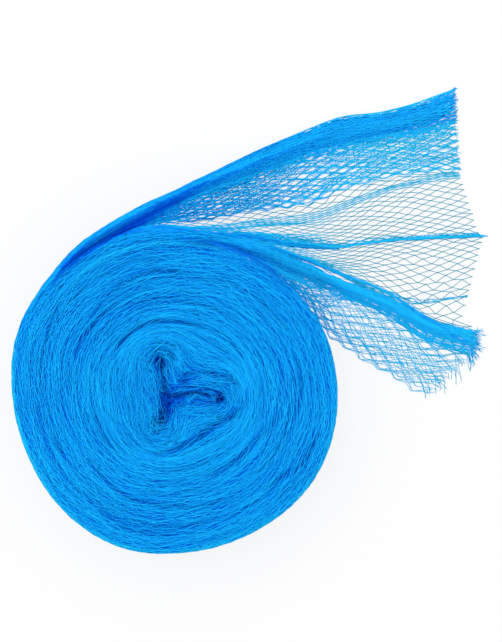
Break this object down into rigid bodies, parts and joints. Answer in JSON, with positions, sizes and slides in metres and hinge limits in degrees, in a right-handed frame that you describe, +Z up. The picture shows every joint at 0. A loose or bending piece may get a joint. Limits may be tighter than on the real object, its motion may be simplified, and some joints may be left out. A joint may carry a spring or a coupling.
{
  "type": "bird netting roll",
  "caption": "Loosely wound roll of fine knotless bird netting lying on its flat end, with the loose end fanned out flat beside it.",
  "frame": {"origin": "on the roll's axis, in the flat bottom face that the roll lies on", "axes": "+Z up along the roll's axis, +X to the right of the picture and towards the cut end of the loose netting, +Y to the top of the picture"},
  "size_m": [0.4406, 0.4287, 0.115],
  "materials": {
    "netting": "bright blue polyethylene strands, knotless diamond mesh, soft satin sheen"
  },
  "bodies": {
    "root": {"wound_roll": "netting", "loose_end": "netting"}
  },
  "joints": []
}
